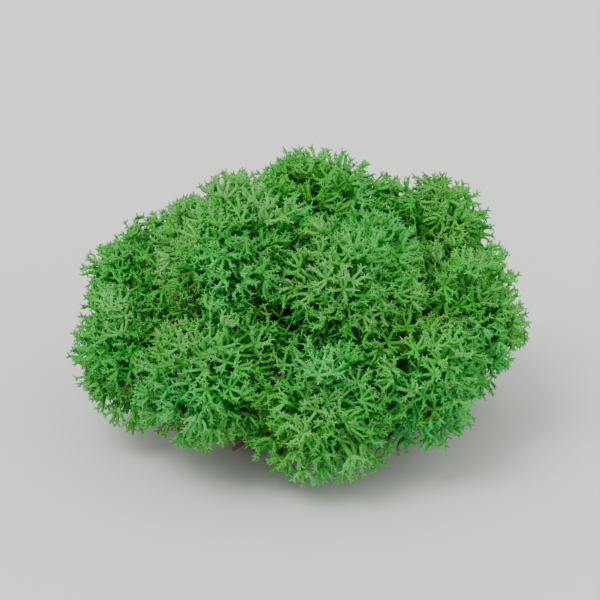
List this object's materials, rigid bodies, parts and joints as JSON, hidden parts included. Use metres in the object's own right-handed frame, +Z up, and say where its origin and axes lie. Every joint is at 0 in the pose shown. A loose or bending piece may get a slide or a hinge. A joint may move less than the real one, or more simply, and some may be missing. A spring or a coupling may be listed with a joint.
{
  "type": "reindeer moss clump",
  "caption": "Loose cushion of bushy green reindeer lichen heads on a small mat of old brown stems, for craft and model landscape work.",
  "frame": {"origin": "middle of the small flat spot that the clump rests on", "axes": "+X to the right along the clump's width, +Y away from the picture's viewer, +Z up"},
  "size_m": [0.072, 0.0646, 0.044],
  "materials": {
    "moss_green": "matt felt-like lichen, dyed vivid green, paler on older twigs",
    "old_stem": "matt dry brown-olive lichen stems"
  },
  "bodies": {
    "root": {"crown_head_1": "moss_green", "crown_head_2": "moss_green", "crown_head_3": "moss_green", "crown_head_4": "moss_green", "rim_head_1": "moss_green", "rim_head_2": "moss_green", "rim_head_3": "moss_green", "rim_head_4": "moss_green", "rim_head_5": "moss_green", "rim_head_6": "moss_green", "rim_head_7": "moss_green", "rim_head_8": "moss_green", "rim_head_9": "moss_green", "old_stem_mat": "old_stem"}
  },
  "joints": []
}
